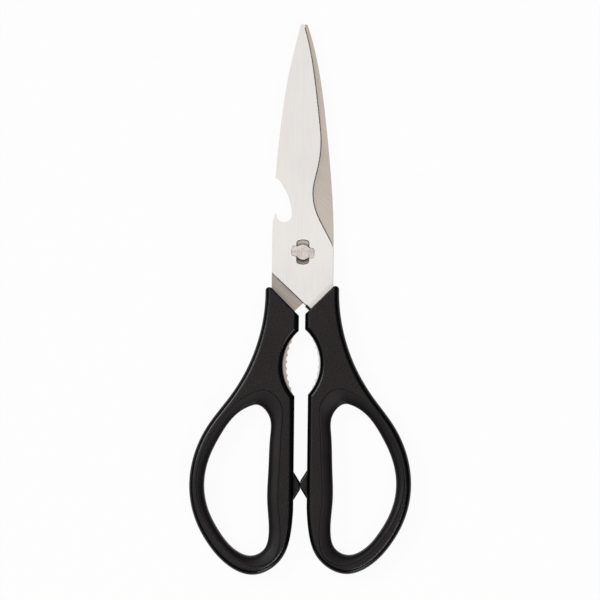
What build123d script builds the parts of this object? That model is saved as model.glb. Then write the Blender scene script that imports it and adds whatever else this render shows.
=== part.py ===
from build123d import *
import math
import os

os.makedirs("parts", exist_ok=True)

# Take-apart kitchen shears, lying flat and closed, tips towards +Y, front face up.
# Each half is drawn in its own frame: the pivot is the origin, the blade's back edge
# is on the left, the handle on the right, and the other half lies below it. The rear
# half is the same drawing, turned over about the long axis.

# Reach of the whole tool, from the pivot
blade_reach = 88.9
handle_reach = 125.4
loop_reach = 43.3  # centreline to the outside of a loop
handle_stagger = 0.7  # the left shank and handle sit this much lower

# Blades
blade_thickness = 2.5
blade_half_width = 12.0
blade_clearance = 0.04  # between the two sliding faces
tip_radius = 0.95
tip_offset = 1.0  # from the centreline to the middle of the front tip, towards its back edge
rear_tip_offset = 0.2
back_foot = 6.0  # height at which the back edge turns straight
back_shares = ((0.32, 0.903), (0.555, 0.755), (0.74, 0.58), (0.87, 0.404), (0.955, 0.228))
rear_back_shares = ((0.288, 0.903), (0.518, 0.755), (0.7, 0.58), (0.841, 0.404), (0.95, 0.228))
edge_root = 2.0  # height at which the cutting edge leaves the side
rear_root_drop = 3.2  # the rear edge turns in this much lower, clear of the opener
rear_edge_inset = 0.45  # and from root to waist it lies this much nearer the centreline
root_shares = ((0.732, 0.097), (0.415, 0.187))
waist_half_width = 3.95
waist_height = 24.0
rise_shares = (0.52, 0.43)  # between waist and belly
belly_half_width = 6.85
belly_height = 42.0
edge_shares = ((0.514, 0.58), (0.355, 0.755), (0.165, 0.903))
bevel_width = 0.45
edge_land = 0.2  # flat left below the bevel, at the cutting line
heel_break = 0.3  # along the front blade's slanted lower edge
side_break = 0.15  # along its side above the handle

# Bottle opener notch in the front blade's back edge
opener_top = 28.7
opener_mouth_inset = 1.7  # from the side of the blade to the notch's upper corner
opener_shares = ((0.47, 0.745), (0.88, 0.34))
opener_bowl_radius = 2.95
opener_bowl_height = 14.5
opener_bowl_offset = 7.4  # from the centreline
hook_rise = 0.7  # the hook's point above the middle of the bowl
hook_inset = 1.15
hook_foot = 11.0

# Tangs, which run down inside the handles
heel_drop = 8.35  # the lower end of the back edge
collar_gap = 5.05  # from the heels to the handles' slanted top edges
crotch_cover = 0.6  # how far the tang's inner corner lies below that edge
shoulder_cover = 2.6
tang_wall = 0.7  # plastic between the tang and the gap between the handles
tang_bulge = 2.4  # beyond the side of the blade
tang_bulge_rise = 1.6  # above the middle of the jaw
tang_end_gap = 2.2  # above the top of the finger hole
tang_toe_width = 4.2
tang_toe_rise = 2.0
tang_gap = 0.04
anchor_radius = 2.0

# Jaw between the handles, and the toothed edges of the tangs that show in it
jaw_half_width = 7.25
jaw_radius = 17.9
jaw_half_length = 12.5
right_teeth_show = 0.9
left_teeth_show = 1.6
tooth_pitch = 2.6
tooth_count = 9
tooth_radius = 1.6
tooth_depth = 0.45

# Handles
handle_thickness = 12.0
slot_half_width = 1.2  # between the handles above the jaw
slot_length = 5.98
loop_half_gap = 2.6  # between the handles below the jaw
neck_wall = 2.4  # from the side of the blade to the outside of the handle's top
neck_length = 5.2
inner_edge_share = 0.616  # how far down the loop the inner edge stays straight
loop_foot_shares = ((0.024, 0.767), (0.101, 0.899), (0.383, 1.0), (0.614, 0.949), (0.811, 0.823))
loop_side_shares = ((0.931, 0.657), (1.0, 0.474), (0.933, 0.286), (0.757, 0.122))
shank_side_shares = ((0.477, 0.935), (0.25, 0.686), (0.101, 0.432), (0.02, 0.18))
peak_radius = 1.5  # of the handle's outer top corner, seen from above
rim_radius = 2.2
collar_rim_radius = 0.6
lip_width = 0.5  # the right handle's lip, along the foot of the tang's slanted edge
lip_cover = 0.6  # how far it laps over the tang's face
lip_height = 0.7  # above that face
lip_length = 2.6

# Stop bumpers, where the handles meet when the shears close
bumper_share = 0.476  # how far down the loop they meet
bumper_flank = 32.0  # degrees between its straight sides and the gap
bumper_land = 2.8  # length of its flat nose
bumper_nose_radius = 1.2  # at both ends of that flat, seen from above
bumper_root = 3.0  # inside the handle
bumper_thickness = 5.0
bumper_round = 0.8
bumper_gap = 0.01

# Finger holes and their liners
hole_top_gap = 15.6  # from the middle of the jaw to the top of the finger hole
band_near = 4.6  # of the handle round the liner, beside the gap
band_far = 2.8
band_foot = 3.5
hole_far_shares = ((0.264, 0.0), (0.521, 0.063), (0.762, 0.204), (0.939, 0.37), (1.0, 0.537))
hole_foot_shares = ((0.95, 0.676), (0.751, 0.849), (0.502, 0.967), (0.268, 1.0), (0.077, 0.953))
hole_near_shares = ((0.019, 0.872), (0.042, 0.642), (0.03, 0.42), (0.008, 0.2), (0.025, 0.075))
liner_near = 4.5  # width of the liner beside the handle's inner edge
liner_far = 3.0
liner_top = 5.8
liner_foot = 3.8
liner_waist = 6.6  # height of the liner's straight middle
liner_sink = 0.04  # the liner's edge below the handle's face
liner_land_share = 0.12  # of its width, left flat at the edge
liner_gap = 0.04
liner_roll = 72.0  # degrees that the liner's face turns from its waist to its edge
liner_roll_steps = 3
tongue_reach = 0.7
tongue_height = 2.4
groove_width = 0.16

# Pivot stud and the keyhole that it passes through
stud_radius = 3.0
stud_clearance = 0.08
stud_edge_break = 0.12
lug_radius = 4.5
lug_corner = 0.5
lug_width = 3.9
lug_height = 0.6
lug_tilt = -7.4  # degrees from the cross axis, with the shears closed
lug_clearance = 0.05
keyhole_end_gap = 0.15
keyhole_side_gap = 0.35
keyhole_corner = 0.9
keyhole_break = 0.25
shank_radius = 2.25
rivet_radius = 3.3
rivet_depth = 0.9
rivet_clearance = 0.02

cut_overrun = 1.0

pivot_y = (handle_reach + handle_stagger - blade_reach) / 2
mid_height = handle_thickness / 2
front_frame = Plane(origin=(0, pivot_y, mid_height))
rear_frame = Plane(origin=(0, pivot_y, mid_height), x_dir=(-1, 0, 0), z_dir=(0, 0, -1))
inner_face = blade_clearance / 2
outer_face = inner_face + blade_thickness

# The handle hangs from the blade's heel: collar, slot, jaw, finger hole
collar_drop = blade_half_width + heel_drop + collar_gap  # the slanted edge, carried on to the centreline
jaw_centre = jaw_half_width - jaw_radius
jaw_rise = math.sqrt(jaw_radius**2 - (slot_half_width - jaw_centre) ** 2)
jaw_drop = collar_drop - slot_half_width + slot_length + jaw_rise
hole_top_drop = jaw_drop + hole_top_gap
hole_foot_drop = handle_reach - band_foot - liner_foot
loop_length = handle_reach - hole_top_drop
hole_near = loop_half_gap + band_near + liner_near
hole_far = loop_reach - band_far - liner_far
neck_reach = blade_half_width + neck_wall
neck_drop = collar_drop - neck_reach + neck_length


def place(frame, x, y, z):
    # A point of a half's own frame
    return frame.from_local_coords(Vector(x, y, z))


def shank_corners(drop):
    # The shank and tang below the pivot, from the back edge round to the cutting side
    inset = loop_half_gap + tang_wall
    end = tang_end_gap - hole_top_drop - drop
    return [
        (-blade_half_width, -heel_drop - drop),
        (inset, inset - collar_drop - crotch_cover - drop),
        (inset, end),
        (inset + tang_toe_width, end + tang_toe_rise),
        (blade_half_width + tang_bulge, tang_bulge_rise - jaw_drop - drop),
        (blade_half_width, -collar_drop - shoulder_cover - drop),
    ]


def blade_outline(back_curve_shares, offset, edge_inset, root_drop, drop):
    # Blade and tang in one face: cutting edge, tip, back edge, shank
    tip_height = blade_reach - tip_radius
    root = (blade_half_width, edge_root - root_drop)
    root_curve = [(x * blade_half_width - edge_inset, y * blade_reach - root_drop) for x, y in root_shares]
    waist_reach = waist_half_width - edge_inset
    waist = (waist_reach, waist_height)
    rise = (
        waist_reach + rise_shares[0] * (belly_half_width - waist_reach),
        waist_height + rise_shares[1] * (belly_height - waist_height),
    )
    belly = (belly_half_width, belly_height)
    edge = [(x * blade_half_width, y * blade_reach) for x, y in edge_shares]
    edge_tip = (tip_radius - offset, tip_height)
    back_tip = (-tip_radius - offset, tip_height)
    back = [(-x * blade_half_width, y * blade_reach) for x, y in back_curve_shares]
    back_end = (-blade_half_width, back_foot)
    with BuildSketch() as outline:
        with BuildLine():
            Spline(root, *root_curve, waist, rise, belly, *edge, edge_tip)
            ThreePointArc(edge_tip, (-offset, blade_reach), back_tip)
            Spline(back_tip, *back, back_end)
            Polyline(back_end, *shank_corners(drop), root)
        make_face()
    return outline.sketch


def tooth_arc(show):
    # Radius and centre reach of the arc that the jaw teeth are cut along
    jaw_end = jaw_centre + math.sqrt(jaw_radius**2 - jaw_half_length**2)
    sagitta = jaw_half_width - show - jaw_end
    radius = (jaw_half_length**2 + sagitta**2) / (2 * sagitta)
    return radius, jaw_half_width - show - radius


def tang_hollows(drop, show, shrink):
    # The jaw's hollow and the two anchor holes; shrunk, they are what the handle fills
    radius, centre = tooth_arc(show)
    upper_reach = (loop_half_gap + tang_wall + blade_half_width) / 2
    lower_reach = (jaw_half_width + blade_half_width + tang_bulge) / 2
    upper_anchor = (upper_reach, -collar_drop - shoulder_cover - drop)
    lower_anchor = (lower_reach, -jaw_drop - drop)
    with BuildSketch() as hollows:
        with Locations((centre, -jaw_drop - drop)):
            Circle(radius - shrink)
        with Locations(upper_anchor, lower_anchor):
            Circle(anchor_radius - shrink)
    return hollows.sketch


def jaw_teeth(drop, show):
    # Scallops between the points of the teeth
    radius, centre = tooth_arc(show)
    turn = math.degrees(tooth_pitch / radius)
    span = turn * (tooth_count - 1)
    ring = radius - tooth_radius + tooth_depth
    with BuildSketch() as teeth:
        with Locations((centre, -jaw_drop - drop)):
            with PolarLocations(ring, tooth_count, -span / 2, span, endpoint=True):
                Circle(tooth_radius)
    return teeth.sketch


def opener_notch():
    # Open to the back edge, with a round bowl below and the hook beside it
    outside = -blade_half_width - cut_overrun
    mouth = (opener_mouth_inset - blade_half_width, opener_top)
    bowl_right = (opener_bowl_radius - opener_bowl_offset, opener_bowl_height)
    bowl_foot = (-opener_bowl_offset, opener_bowl_height - opener_bowl_radius)
    bowl_left = (-opener_bowl_radius - opener_bowl_offset, opener_bowl_height)
    hook = (hook_inset - blade_half_width, opener_bowl_height + hook_rise)
    run = bowl_right[0] - mouth[0]
    fall = mouth[1] - bowl_right[1]
    curve = [(mouth[0] + x * run, bowl_right[1] + y * fall) for x, y in opener_shares]
    with BuildSketch() as notch:
        with BuildLine():
            Spline(mouth, *curve, bowl_right)
            ThreePointArc(bowl_right, bowl_foot, bowl_left)
            Polyline(bowl_left, hook, (-blade_half_width, hook_foot), (outside, hook_foot))
            Polyline((outside, hook_foot), (outside, opener_top), mouth)
        make_face()
    return notch.sketch


def lug_bar(reach, width, corner):
    # A bar across the pivot whose ends follow a circle
    with BuildSketch() as bar:
        Circle(reach)
        Rectangle(2 * reach, width, mode=Mode.INTERSECT)
        fillet(bar.vertices(), corner)
    return bar.sketch


def loop_outline(share, extra, drop):
    # The finger hole, grown by a share of the liner's widths
    near = hole_near - share * liner_near - extra
    far = hole_far + share * liner_far + extra
    top = -hole_top_drop + share * liner_top + extra
    foot = -hole_foot_drop - share * liner_foot - extra
    shares = hole_far_shares + hole_foot_shares + hole_near_shares
    points = [(near + x * (far - near), top - y * (top - foot) - drop) for x, y in shares]
    with BuildSketch() as loop:
        with BuildLine():
            Spline(*points, periodic=True)
        make_face()
    return loop.sketch


def handle_outline(drop):
    # One handle without its finger hole
    neck = (neck_reach, -neck_drop - drop)
    corner = (neck_reach, neck_reach - collar_drop - drop)
    slot_top = (slot_half_width, slot_half_width - collar_drop - drop)
    slot_foot = (slot_half_width, -jaw_drop - drop)
    gap_top = (loop_half_gap, -jaw_drop - drop)
    gap_foot = (loop_half_gap, -hole_top_drop - inner_edge_share * loop_length - drop)
    foot_reach = loop_reach - loop_half_gap
    side_reach = loop_reach - neck_reach
    foot = [(loop_half_gap + x * foot_reach, y) for x, y in loop_foot_shares]
    side = [(neck_reach + x * side_reach, y) for x, y in loop_side_shares]
    loop = [(x, -hole_top_drop - y * loop_length - drop) for x, y in foot + side]
    fall = hole_top_drop - neck_drop
    shank = [(neck_reach + x * side_reach, -neck_drop - y * fall - drop) for x, y in shank_side_shares]
    with BuildSketch() as outline:
        with BuildLine():
            Polyline(neck, corner, slot_top, slot_foot, gap_top, gap_foot)
            Spline(gap_foot, *loop, *shank, neck)
        make_face()
        with Locations((jaw_centre, -jaw_drop - drop)):
            Circle(jaw_radius, mode=Mode.SUBTRACT)
    return outline.sketch


def peak_cut(drop):
    # What rounding takes off the handle's outer top corner, between its side and the collar
    peak = (neck_reach, neck_reach - collar_drop - drop)
    centre = (peak[0] - peak_radius, peak[1] - peak_radius * (1 + math.sqrt(2)))
    collar_end = (centre[0] - peak_radius * math.sqrt(0.5), centre[1] + peak_radius * math.sqrt(0.5))
    with BuildSketch() as cut:
        with BuildLine():
            Polyline(
                collar_end,
                (collar_end[0] - cut_overrun, collar_end[1] + cut_overrun),
                (peak[0] + cut_overrun, peak[1] + 3 * cut_overrun),
                (peak[0] + cut_overrun, centre[1]),
                (peak[0], centre[1]),
                close=True,
            )
        make_face()
        with Locations(centre):
            Circle(peak_radius, mode=Mode.SUBTRACT)
    return cut.sketch


def bumper_solid(frame, drop):
    # A wedge with a blunt nose and rounded rims, rooted in the handle
    nose = bumper_gap / 2
    root = loop_half_gap + bumper_root
    root_length = bumper_land + 2 * (root - nose) / math.tan(math.radians(bumper_flank))
    middle = -hole_top_drop - bumper_share * loop_length - drop
    upper = [(nose, bumper_land / 2), (root, root_length / 2)]
    corners = upper + [(x, -y) for x, y in reversed(upper)]
    with BuildPart() as bumper:
        with BuildSketch(frame.offset(-bumper_thickness / 2)) as wedge:
            with BuildLine():
                Polyline([(x, middle + y) for x, y in corners], close=True)
            make_face()
            fillet(wedge.vertices().sort_by_distance((nose, middle, 0))[:2], bumper_nose_radius)
        extrude(amount=bumper_thickness)
        ends = bumper.faces().sort_by(Axis.Z)
        fillet([*ends[0].edges(), *ends[-1].edges()], bumper_round)
    return bumper.part


def tang_pocket(drop, show):
    # Room for the tang inside the handle, with plugs left for its anchor holes
    with BuildSketch() as pocket:
        with BuildLine():
            Polyline(*shank_corners(drop), (blade_half_width, 0), (-blade_half_width, 0), close=True)
        make_face()
        offset(amount=tang_gap, kind=Kind.INTERSECTION)
        add(tang_hollows(drop, show, tang_gap), mode=Mode.SUBTRACT)
    return pocket.sketch


def liner_sections(drop):
    # Heights and outlines of the liner's rolled face, from its waist to its edge
    rise = mid_height - liner_sink - liner_waist / 2
    turns = [math.radians(liner_roll * step / liner_roll_steps) for step in range(liner_roll_steps + 1)]
    spread = 1 - math.cos(turns[-1])
    lift = math.sin(turns[-1])
    sections = []
    for turn in turns:
        height = liner_waist / 2 + rise * math.sin(turn) / lift
        share = (1 - liner_land_share) * (1 - math.cos(turn)) / spread
        sections.append((height, loop_outline(share, 0, drop)))
    return sections


# Front blade: cutting edge, bottle opener, keyhole, and the tang of the right handle
with BuildPart() as front_blade:
    with BuildSketch(front_frame.offset(inner_face)):
        add(blade_outline(back_shares, tip_offset, 0, 0, 0))
        add(tang_hollows(0, right_teeth_show, 0), mode=Mode.SUBTRACT)
        add(jaw_teeth(0, right_teeth_show), mode=Mode.SUBTRACT)
        add(opener_notch(), mode=Mode.SUBTRACT)
        Circle(stud_radius + stud_clearance, mode=Mode.SUBTRACT)
        keyhole_width = lug_width + 2 * keyhole_side_gap
        keyhole = lug_bar(lug_radius + keyhole_end_gap, keyhole_width, keyhole_corner)
        add(keyhole, rotation=90, mode=Mode.SUBTRACT)
    extrude(amount=blade_thickness)
    heel, crotch = shank_corners(0)[:2]
    heel_middle = place(front_frame, (heel[0] + crotch[0]) / 2, (heel[1] + crotch[1]) / 2, outer_face)
    side_middle = place(front_frame, blade_half_width, edge_root - heel_drop, outer_face)
    chamfer(front_blade.edges().sort_by_distance(heel_middle)[0], heel_break)
    chamfer(front_blade.edges().sort_by_distance(side_middle)[0], side_break)
    face = front_blade.faces().sort_by(Axis.Z)[-1]
    keyhole_rim = face.inner_wires().sort_by_distance(place(front_frame, 0, 0, outer_face))[0]
    chamfer(keyhole_rim.edges(), keyhole_break)
    belly = place(front_frame, belly_half_width, belly_height, outer_face)
    cutting_edge = front_blade.edges().sort_by_distance(belly)[0]
    face = front_blade.faces().sort_by(Axis.Z)[-1]
    chamfer(cutting_edge, bevel_width, length2=blade_thickness - edge_land, reference=face)
front_blade.part.label = "front_blade"
export_step(front_blade.part, "parts/front_blade.step")

# Rear blade, turned over, with the stud's riveted hole
with BuildPart() as rear_blade:
    with BuildSketch(rear_frame.offset(inner_face)):
        outline = blade_outline(
            rear_back_shares, rear_tip_offset, rear_edge_inset, rear_root_drop, handle_stagger
        )
        add(outline)
        add(tang_hollows(handle_stagger, left_teeth_show, 0), mode=Mode.SUBTRACT)
        add(jaw_teeth(handle_stagger, left_teeth_show), mode=Mode.SUBTRACT)
        Circle(shank_radius + rivet_clearance, mode=Mode.SUBTRACT)
    extrude(amount=blade_thickness)
    with BuildSketch(rear_frame.offset(outer_face - rivet_depth - rivet_clearance)):
        Circle(shank_radius + rivet_clearance)
    with BuildSketch(rear_frame.offset(outer_face)):
        Circle(rivet_radius + 2 * rivet_clearance)
    loft(mode=Mode.SUBTRACT)
    belly = place(rear_frame, belly_half_width, belly_height, outer_face)
    cutting_edge = rear_blade.edges().sort_by_distance(belly)[0]
    face = rear_blade.faces().sort_by(Axis.Z)[0]
    chamfer(cutting_edge, bevel_width, length2=blade_thickness - edge_land, reference=face)
rear_blade.part.label = "rear_blade"
export_step(rear_blade.part, "parts/rear_blade.step")


def handle_solid(frame, drop, show):
    # One moulded handle, with its bumper, its tang's pocket and the liner's seat
    with BuildPart() as handle:
        with BuildSketch(frame.offset(-mid_height)):
            add(handle_outline(drop))
        extrude(amount=handle_thickness)
        flats = handle.faces().sort_by(Axis.Z)
        collar_x = (slot_half_width + neck_reach) / 2
        collar_middle = place(frame, collar_x, collar_x - collar_drop - drop, 0)
        collar = handle.faces().sort_by_distance(collar_middle)[0]
        rims = [*flats[0].edges(), *flats[-1].edges()]
        fillet([edge for edge in rims if edge not in collar.edges()], rim_radius)
        collar = handle.faces().sort_by_distance(collar_middle)[0]
        fillet(collar.edges(), collar_rim_radius)
        with BuildSketch(frame.offset(-mid_height - cut_overrun)):
            add(peak_cut(drop))
        extrude(amount=handle_thickness + 2 * cut_overrun, mode=Mode.SUBTRACT)
        add(bumper_solid(frame, drop))
        with BuildSketch(frame.offset(-mid_height - cut_overrun)):
            add(loop_outline(1, liner_gap, drop))
        extrude(amount=handle_thickness + 2 * cut_overrun, mode=Mode.SUBTRACT)
        for side in (1, -1):
            with BuildSketch(frame.offset(side * (mid_height + cut_overrun))):
                add(loop_outline(1, liner_gap + groove_width + cut_overrun, drop))
            with BuildSketch(frame.offset(side * (mid_height - groove_width - liner_gap))):
                add(loop_outline(1, 0, drop))
            loft(mode=Mode.SUBTRACT)
        with BuildSketch(frame.offset(-tongue_height / 2 - liner_gap)):
            add(loop_outline(1, tongue_reach + liner_gap, drop))
        extrude(amount=tongue_height + 2 * liner_gap, mode=Mode.SUBTRACT)
        with BuildSketch(frame.offset(inner_face - tang_gap)):
            add(tang_pocket(drop, show))
        extrude(amount=blade_thickness + 2 * tang_gap, mode=Mode.SUBTRACT)
    return handle.part


def liner_solid(frame, drop):
    # Soft ring in the finger hole, rolled over towards both faces
    with BuildPart() as liner:
        with BuildSketch(frame.offset(liner_sink - mid_height)):
            add(loop_outline(1, 0, drop))
        extrude(amount=handle_thickness - 2 * liner_sink)
        with BuildSketch(frame.offset(-tongue_height / 2)):
            add(loop_outline(1, tongue_reach, drop))
        extrude(amount=tongue_height)
        with BuildSketch(frame.offset(-liner_waist / 2)):
            add(loop_outline(0, 0, drop))
        extrude(amount=liner_waist, mode=Mode.SUBTRACT)
        for side in (1, -1):
            for height, section in liner_sections(drop):
                with BuildSketch(frame.offset(side * height)):
                    add(section)
            loft(mode=Mode.SUBTRACT)
    return liner.part


# Right handle, on the front blade's tang, with its lip
with BuildPart() as right_handle:
    add(handle_solid(front_frame, 0, right_teeth_show))
    slant = math.degrees(math.atan2(crotch[1] - heel[1], crotch[0] - heel[0]))
    lip_place = Location((*crotch, 0), (0, 0, slant))
    with BuildSketch(front_frame.offset(inner_face)):
        with Locations(lip_place):
            Rectangle(lip_length, lip_width, align=(Align.MAX, Align.MAX))
    extrude(amount=blade_thickness + lip_height)
    with BuildSketch(front_frame.offset(outer_face + tang_gap)):
        with Locations(lip_place * Location((0, -lip_width, 0))):
            Rectangle(lip_length, lip_width + lip_cover, align=(Align.MAX, Align.MIN))
    extrude(amount=lip_height - tang_gap)
right_handle.part.label = "right_handle"
export_step(right_handle.part, "parts/right_handle.step")

# Left handle, on the rear blade's tang
with BuildPart() as left_handle:
    add(handle_solid(rear_frame, handle_stagger, left_teeth_show))
left_handle.part.label = "left_handle"
export_step(left_handle.part, "parts/left_handle.step")

with BuildPart() as right_grip_liner:
    add(liner_solid(front_frame, 0))
right_grip_liner.part.label = "right_grip_liner"
export_step(right_grip_liner.part, "parts/right_grip_liner.step")

with BuildPart() as left_grip_liner:
    add(liner_solid(rear_frame, handle_stagger))
left_grip_liner.part.label = "left_grip_liner"
export_step(left_grip_liner.part, "parts/left_grip_liner.step")

# Pivot stud: riveted foot in the rear blade, neck in the front blade's bore, head with two lugs
with BuildPart() as pivot_stud:
    with BuildSketch(front_frame.offset(outer_face + lug_clearance)) as head:
        add(lug_bar(lug_radius, lug_width, lug_corner), rotation=lug_tilt)
        Circle(stud_radius)
        inner_corners = head.vertices().sort_by_distance((0, 0, 0))[:4]
        fillet(inner_corners, lug_corner)
    extrude(amount=lug_height)
    chamfer(pivot_stud.faces().sort_by(Axis.Z)[-1].edges(), stud_edge_break)
    with BuildSketch(front_frame.offset(-inner_face)):
        Circle(stud_radius)
    extrude(amount=inner_face + outer_face + lug_clearance + stud_edge_break)
    with BuildSketch(rear_frame.offset(inner_face)):
        Circle(shank_radius)
    extrude(amount=blade_thickness)
    with BuildSketch(rear_frame.offset(outer_face - rivet_depth)):
        Circle(shank_radius)
    with BuildSketch(rear_frame.offset(outer_face)):
        Circle(rivet_radius)
    loft()
pivot_stud.part.label = "pivot_stud"
export_step(pivot_stud.part, "parts/pivot_stud.step")
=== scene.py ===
import math

import bpy
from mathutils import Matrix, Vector

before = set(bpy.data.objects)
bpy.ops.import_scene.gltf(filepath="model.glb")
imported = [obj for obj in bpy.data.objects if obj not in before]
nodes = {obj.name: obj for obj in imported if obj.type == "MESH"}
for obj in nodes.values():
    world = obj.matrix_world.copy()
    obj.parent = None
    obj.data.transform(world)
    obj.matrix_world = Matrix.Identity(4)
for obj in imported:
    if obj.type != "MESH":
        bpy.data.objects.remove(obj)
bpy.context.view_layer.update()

mm = 0.001
print("Shears loaded:", ", ".join(sorted(nodes)))


def linear(hexColour):
    # sRGB hex to the linear values that the shaders take
    channels = [int(hexColour[i:i + 2], 16) / 255 for i in (0, 2, 4)]
    return [c / 12.92 if c <= 0.04045 else ((c + 0.055) / 1.055) ** 2.4 for c in channels] + [1.0]


def addNode(tree, kind, settings={}, values={}, links={}):
    # One node: its options, the values of its sockets, and what feeds them
    node = tree.nodes.new(kind)
    for name, value in settings.items():
        setattr(node, name, value)
    for socket, value in values.items():
        node.inputs[socket].default_value = value
    for socket, source in links.items():
        tree.links.new(source, node.inputs[socket])
    return node


def newTree(material):
    material.use_nodes = True
    material.node_tree.nodes.clear()
    return material.node_tree


def rampNode(tree, source, low, high, bottom=0.0, top=1.0):
    # A smooth step of a value from bottom at low to top at high
    smooth = {"interpolation_type": "SMOOTHSTEP"}
    values = {"From Min": low, "From Max": high, "To Min": bottom, "To Max": top}
    return addNode(tree, "ShaderNodeMapRange", smooth, values, {"Value": source}).outputs["Result"]


def mixColours(tree, factor, first, second):
    # Colours are hex text or another node's output
    mix = addNode(tree, "ShaderNodeMix", {"data_type": "RGBA"}, {}, {0: factor})
    for socket, colour in ((6, first), (7, second)):
        if isinstance(colour, str):
            mix.inputs[socket].default_value = linear(colour)
        else:
            tree.links.new(colour, mix.inputs[socket])
    return mix.outputs[2]


def mixMath(tree, operation, first, second):
    node = addNode(tree, "ShaderNodeMath", {"operation": operation})
    for socket, value in enumerate((first, second)):
        if isinstance(value, (int, float)):
            node.inputs[socket].default_value = value
        else:
            tree.links.new(value, node.inputs[socket])
    return node.outputs[0]


def finishMaterial(tree, constants, links):
    # Constants sit on the shader's own sockets, patterns are linked
    shader = addNode(tree, "ShaderNodeBsdfPrincipled", {}, constants, links)
    addNode(tree, "ShaderNodeOutputMaterial", {}, {}, {"Surface": shader.outputs[0]})


def dress(names, material):
    for name in names:
        for slot in nodes[name].material_slots:
            slot.material = material
        if not nodes[name].material_slots:
            nodes[name].data.materials.append(material)


def groundLines(tree, turn, spacing, length):
    # Scratches of a grinding belt: noise that is narrow across the grind and long along it
    place = addNode(tree, "ShaderNodeTexCoord").outputs["Object"]
    rotation = (0, 0, -math.radians(turn))
    turned = addNode(tree, "ShaderNodeMapping", {}, {"Rotation": rotation}, {"Vector": place})
    scale = (1 / length, 1 / spacing, 1 / spacing)
    stretched = addNode(tree, "ShaderNodeMapping", {}, {"Scale": scale}, {"Vector": turned.outputs[0]})
    values = {"Scale": 1.0, "Detail": 3.0, "Roughness": 0.6}
    return addNode(tree, "ShaderNodeTexNoise", {}, values, {"Vector": stretched.outputs[0]}).outputs[0]


def softPatches(tree, size):
    place = addNode(tree, "ShaderNodeTexCoord").outputs["Object"]
    values = {"Scale": 1 / size, "Detail": 2.0, "Roughness": 0.5}
    return addNode(tree, "ShaderNodeTexNoise", {}, values, {"Vector": place}).outputs[0]


# Blades: 420 stainless strip, blanked, belt ground and satin finished. The grind is fine
# enough to look like one pale satin face; its lines are drawn coarser than the real
# 0.05 mm so that they show. The blanked edges are left as the press leaves them, greyer,
# and their colour is darker still as painted shade for the dark lines along the edges.
frontSteel = {
    "pale": "e5e1dd",
    "dark": "e0dbd8",
    "blankedShadedEdge": "7d766f",
    "roughness": 0.36,
    "roughnessSpread": 0.012,
    "blankedRoughness": 0.5,
    "grindTurn": 90.0,
    "lineSpacing": 0.35 * mm,
    "lineLength": 12 * mm,
    "lineDepth": 0.0007 * mm,
    "patchSize": 25 * mm,
    "toneEnds": (0.38, 0.62),
    "lineEnds": (0.3, 0.7),
    "edgeFacing": (0.16, 0.06),  # how far up a face looks, from the grind to the blanked edge
}


def satinSteel(name, look):
    material = bpy.data.materials.new(name)
    tree = newTree(material)
    coordinates = addNode(tree, "ShaderNodeTexCoord")
    lines = groundLines(tree, look["grindTurn"], look["lineSpacing"], look["lineLength"])
    patches = softPatches(tree, look["patchSize"])
    bothPatterns = mixMath(tree, "ADD", lines, patches)
    shade = rampNode(tree, mixMath(tree, "DIVIDE", bothPatterns, 2), *look["toneEnds"])
    colour = mixColours(tree, shade, look["dark"], look["pale"])
    if "tangPale" in look:
        # From the pivot down the tang is greyer, and a painted shadow darkens the face round the stud's
        # foot, most below it
        place = coordinates.outputs["Object"]
        along = addNode(tree, "ShaderNodeSeparateXYZ", {}, {}, {0: place}).outputs[1]
        below = rampNode(tree, along, look["tangTop"], look["tangTop"] - look["tangFade"])
        tang = mixColours(tree, shade, look["tangDark"], look["tangPale"])
        colour = mixColours(tree, below, colour, tang)
        # The toothed edge is paler again
        toothed = rampNode(tree, along, look["jawTop"], look["jawTop"] - look["jawFade"])
        jaw = mixColours(tree, shade, look["jawDark"], look["jawPale"])
        colour = mixColours(tree, toothed, colour, jaw)
        # Painted shadow of the stud: darker towards the stud's foot, centred a little below the pivot
        distance = {"operation": "DISTANCE"}
        away = addNode(tree, "ShaderNodeVectorMath", distance, {1: look["studShadowCentre"]}, {0: place})
        inStudShadow = rampNode(tree, away.outputs["Value"], look["studShadowEdge"], look["studShadowCore"])
        colour = mixColours(tree, inStudShadow, colour, look["studShadow"])
    # The near-upright sides take the blanked colour: greyer sheared steel, darkened further as painted
    # shade
    facing = addNode(tree, "ShaderNodeSeparateXYZ", {}, {}, {0: coordinates.outputs["Normal"]}).outputs[2]
    onEdge = rampNode(tree, mixMath(tree, "ABSOLUTE", facing, 0), *look["edgeFacing"])
    colour = mixColours(tree, onEdge, colour, look["blankedShadedEdge"])
    low = look["roughness"] - look["roughnessSpread"]
    high = look["roughness"] + look["roughnessSpread"]
    roughness = rampNode(tree, lines, *look["lineEnds"], low, high)
    blankedShadedEdge = mixMath(tree, "MULTIPLY", onEdge, look["blankedRoughness"])
    roughness = mixMath(tree, "MAXIMUM", roughness, blankedShadedEdge)
    bump = addNode(tree, "ShaderNodeBump", {}, {"Distance": look["lineDepth"]}, {"Height": lines})
    links = {"Base Color": colour, "Roughness": roughness, "Normal": bump.outputs[0]}
    finishMaterial(tree, {"Metallic": 1.0}, links)
    return material


dress(["front_blade"], satinSteel("satinStainlessFront", frontSteel))

# The rear blade's upper face is its sliding face, ground across the blade and darker
rearSteel = dict(
    frontSteel,
    pale="c1b8ae",
    dark="b6ada3",
    tangPale="b0a6a0",
    tangDark="999089",
    tangTop=19 * mm,
    tangFade=3 * mm,
    jawPale="c8bdb6",
    jawDark="b0a69e",
    jawTop=-4 * mm,
    jawFade=6 * mm,
    # Painted shadow round the stud's foot
    studShadow="544b45",
    studShadowCentre=(0, 18.2 * mm, 6 * mm),
    studShadowCore=3.0 * mm,
    studShadowEdge=4.4 * mm,
    roughness=0.27,
    grindTurn=-42.0,
)
dress(["rear_blade"], satinSteel("satinStainlessRear", rearSteel))

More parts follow.
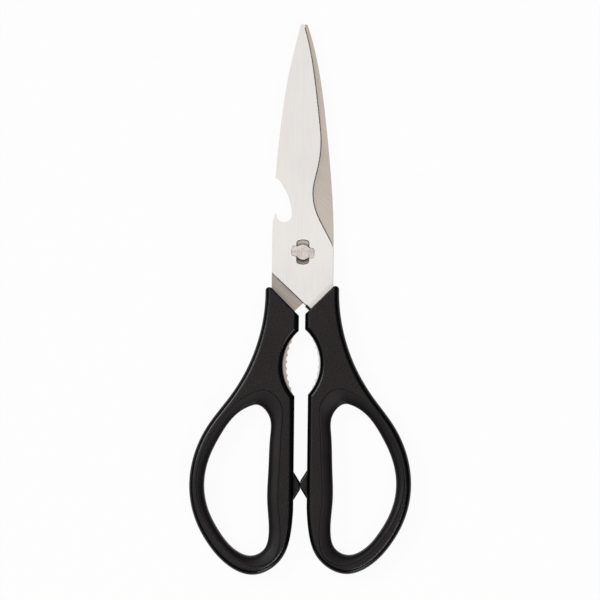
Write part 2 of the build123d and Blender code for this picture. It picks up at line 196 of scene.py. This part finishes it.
# The stud: turned stainless bar, tumbled, so its face is soft and even
studSteel = dict(
    frontSteel,
    pale="dad3cc",
    dark="bdb5ae",
    roughness=0.34,
    lineSpacing=0.6 * mm,
    lineLength=1.5 * mm,
    patchSize=2 * mm,
)
dress(["pivot_stud"], satinSteel("tumbledStainlessStud", studSteel))
print("Steel dressed")

# Handles: black polypropylene, injection moulded. The mould's flats are spark eroded,
# which gives a fine matt grain, drawn at twice its real 0.3 mm, and its rims are polished.
# The mould's halves meet at mid-height and leave a hair line there.
handlePlastic = {
    "flatPale": "221515",
    "flatDark": "010101",
    "rim": "060505",
    "flatRoughness": 0.52,
    "rimRoughness": 0.22,
    "specular": 0.28,
    "grain": 0.6 * mm,
    "grainDepth": 0.16 * mm,
    "partingHeight": 6 * mm,
    "partingWidth": 0.12 * mm,
    "partingDepth": 0.06 * mm,
    "patchSize": 18 * mm,
    "patchRoughness": 0.03,
    "patchEnds": (0.3, 0.7),
    "grainEnds": (0.38, 0.62),
    "flatFacing": (0.9985, 0.9999),  # how far up the grained flats look
    "glossFacing": (0.985, 0.998),  # from the polished rims to the matt flats
}


def sparkedPlastic(name, look):
    material = bpy.data.materials.new(name)
    tree = newTree(material)
    coordinates = addNode(tree, "ShaderNodeTexCoord")
    facing = addNode(tree, "ShaderNodeSeparateXYZ", {}, {}, {0: coordinates.outputs["Normal"]})
    upright = mixMath(tree, "ABSOLUTE", facing.outputs[2], 0)
    onFlat = rampNode(tree, upright, *look["flatFacing"])
    values = {"Scale": 1 / look["grain"], "Detail": 2.0, "Roughness": 0.55}
    place = coordinates.outputs["Object"]
    grain = addNode(tree, "ShaderNodeTexNoise", {}, values, {"Vector": place}).outputs[0]
    patches = softPatches(tree, look["patchSize"])
    shade = rampNode(tree, grain, *look["grainEnds"])
    flatColour = mixColours(tree, shade, look["flatDark"], look["flatPale"])
    colour = mixColours(tree, onFlat, look["rim"], flatColour)
    # The rims turn glossy only past the grain's end, or the grain would sparkle there
    rough = rampNode(tree, upright, *look["glossFacing"], look["rimRoughness"], look["flatRoughness"])
    spread = look["patchRoughness"]
    rough = mixMath(tree, "ADD", rough, rampNode(tree, patches, *look["patchEnds"], -spread, spread))
    height = addNode(tree, "ShaderNodeSeparateXYZ", {}, {}, {0: place}).outputs[2]
    offLine = mixMath(tree, "ABSOLUTE", mixMath(tree, "SUBTRACT", height, look["partingHeight"]), 0)
    ridge = rampNode(tree, offLine, look["partingWidth"], 0)
    line = addNode(tree, "ShaderNodeBump", {}, {"Distance": look["partingDepth"]}, {"Height": ridge})
    links = {"Strength": onFlat, "Height": grain, "Normal": line.outputs[0]}
    bump = addNode(tree, "ShaderNodeBump", {}, {"Distance": look["grainDepth"]}, links)
    links = {"Base Color": colour, "Roughness": rough, "Normal": bump.outputs[0]}
    finishMaterial(tree, {"IOR": 1.49, "Specular IOR Level": look["specular"]}, links)
    return material


dress(["right_handle", "left_handle"], sparkedPlastic("sparkedPolypropylene", handlePlastic))

# Liners: thermoplastic elastomer, moulded smooth, so they have an even satin sheen
linerRubber = {
    "pale": "1b1617",
    "dark": "141112",
    "roughness": 0.46,
    "roughnessSpread": 0.04,
    "specular": 0.22,
    "grain": 0.6 * mm,
    "grainDepth": 0.01 * mm,
    "patchSize": 14 * mm,
    "patchEnds": (0.35, 0.65),
    "grainEnds": (0.3, 0.7),
}


def smoothElastomer(name, look):
    material = bpy.data.materials.new(name)
    tree = newTree(material)
    patches = softPatches(tree, look["patchSize"])
    shade = rampNode(tree, patches, *look["patchEnds"])
    colour = mixColours(tree, shade, look["dark"], look["pale"])
    grain = softPatches(tree, look["grain"])
    low = look["roughness"] - look["roughnessSpread"]
    high = look["roughness"] + look["roughnessSpread"]
    rough = rampNode(tree, grain, *look["grainEnds"], low, high)
    bump = addNode(tree, "ShaderNodeBump", {}, {"Distance": look["grainDepth"]}, {"Height": grain})
    links = {"Base Color": colour, "Roughness": rough, "Normal": bump.outputs[0]}
    finishMaterial(tree, {"IOR": 1.5, "Specular IOR Level": look["specular"]}, links)
    return material


dress(["right_grip_liner", "left_grip_liner"], smoothElastomer("smoothElastomer", linerRubber))
print("Plastic and rubber dressed")

# Floor: a white sheet. The camera sees it white with a share of its shadow, and gloss and
# glass see more of the shadow, so the steep sides of the gap stay dark.
floorLook = {
    "size": 5.0,
    "drop": 0.02 * mm,  # below the handles, so that the two planes never fight
    "colour": "fafafa",
    "shadowShare": 0.06,
    "mirrorShare": 0.6,
}


def whiteFloor(look):
    bpy.ops.mesh.primitive_plane_add(size=look["size"], location=(0, 0, -look["drop"]))
    floor = bpy.context.active_object
    floor.name = "floor"
    material = bpy.data.materials.new("whiteSheet")
    tree = newTree(material)
    paper = addNode(tree, "ShaderNodeBsdfDiffuse", {}, {"Color": linear(look["colour"])})
    glow = addNode(tree, "ShaderNodeEmission", {}, {"Color": (1, 1, 1, 1), "Strength": 1.0})
    path = addNode(tree, "ShaderNodeLightPath")
    mirrored = mixMath(tree, "MAXIMUM", path.outputs["Is Glossy Ray"], path.outputs["Is Transmission Ray"])
    mirrorGlow = mixMath(tree, "MULTIPLY", mirrored, 1 - look["mirrorShare"])
    cameraGlow = mixMath(tree, "MULTIPLY", path.outputs["Is Camera Ray"], 1 - look["shadowShare"])
    share = mixMath(tree, "ADD", cameraGlow, mirrorGlow)
    links = {0: share, 1: paper.outputs[0], 2: glow.outputs[0]}
    shown = addNode(tree, "ShaderNodeMixShader", {}, {}, links)
    addNode(tree, "ShaderNodeOutputMaterial", {}, {}, {"Surface": shown.outputs[0]})
    floor.data.materials.append(material)


whiteFloor(floorLook)

# Light: a broad white ceiling that hangs over to the left, dark walls, and soft boxes.
# Turns, rises and leans are in degrees, and a rise is taken from the table.
studio = {
    "ceiling": 1.06,
    "walls": 0.06,
    "ceilingTurn": 155.0,
    "ceilingLean": 20.0,
    "ceilingEdge": 29.0,
    "wallEdge": 38.0,
}
softBoxes = {
    "keyBox": {"turn": 150.0, "rise": 54.0, "distance": 2.2, "size": (0.9, 0.5), "radiance": 10.0},
    "fillBox": {"turn": -50.0, "rise": 62.0, "distance": 2.2, "size": (0.8, 0.35), "radiance": 10.0},
    "rimBox": {"turn": -68.0, "rise": 18.0, "distance": 2.2, "size": (0.8, 0.3), "radiance": 12.0},
}


def skyWay(turn, rise):
    # The direction to a place in the studio, by its turn about the shears and its rise
    turn, rise = math.radians(turn), math.radians(rise)
    return Vector((math.cos(turn) * math.cos(rise), math.sin(turn) * math.cos(rise), math.sin(rise)))


def studioWorld(look):
    world = bpy.data.worlds.new("studio")
    bpy.context.scene.world = world
    world.use_nodes = True
    tree = world.node_tree
    tree.nodes.clear()
    direction = addNode(tree, "ShaderNodeTexCoord").outputs["Generated"]
    middle = skyWay(look["ceilingTurn"], 90 - look["ceilingLean"])
    dot = {"operation": "DOT_PRODUCT"}
    towards = addNode(tree, "ShaderNodeVectorMath", dot, {1: middle}, {0: direction})
    low = math.cos(math.radians(look["wallEdge"]))
    high = math.cos(math.radians(look["ceilingEdge"]))
    strength = rampNode(tree, towards.outputs["Value"], low, high, look["walls"], look["ceiling"])
    background = addNode(tree, "ShaderNodeBackground", {}, {"Color": (1, 1, 1, 1)}, {"Strength": strength})
    addNode(tree, "ShaderNodeOutputWorld", {}, {}, {"Surface": background.outputs[0]})


def softBox(name, look):
    # Aimed at the shears, its longer side level
    way = skyWay(look["turn"], look["rise"])
    lamp = bpy.data.lights.new(name, "AREA")
    lamp.shape = "RECTANGLE"
    lamp.size, lamp.size_y = look["size"]
    lamp.energy = math.pi * look["radiance"] * lamp.size * lamp.size_y
    box = bpy.data.objects.new(name, lamp)
    bpy.context.scene.collection.objects.link(box)
    box.location = way * look["distance"]
    box.rotation_euler = way.to_track_quat("Z", "Y").to_euler()


studioWorld(studio)
for name, look in softBoxes.items():
    softBox(name, look)

# Camera: straight above, as in the photograph, turned by a share of a degree
camera = {
    "centre": (-0.88 * mm, -0.13 * mm),
    "plane": 9 * mm,
    "distance": 2.5,
    "field": 234 * mm,
    "turn": 0.0114,  # radians
    "sensor": 36.0,
    "farClip": 25.0,
}


def cameraAbove(look):
    lens = bpy.data.cameras.new("overhead")
    lens.sensor_width = look["sensor"]
    lens.lens = look["sensor"] * look["distance"] / look["field"]
    lens.clip_end = look["farClip"]
    overhead = bpy.data.objects.new("overhead", lens)
    bpy.context.scene.collection.objects.link(overhead)
    overhead.location = (*look["centre"], look["plane"] + look["distance"])
    overhead.rotation_euler = (0, 0, look["turn"])
    bpy.context.scene.camera = overhead


cameraAbove(camera)
bpy.context.scene.view_settings.view_transform = "Standard"
print("Studio set")
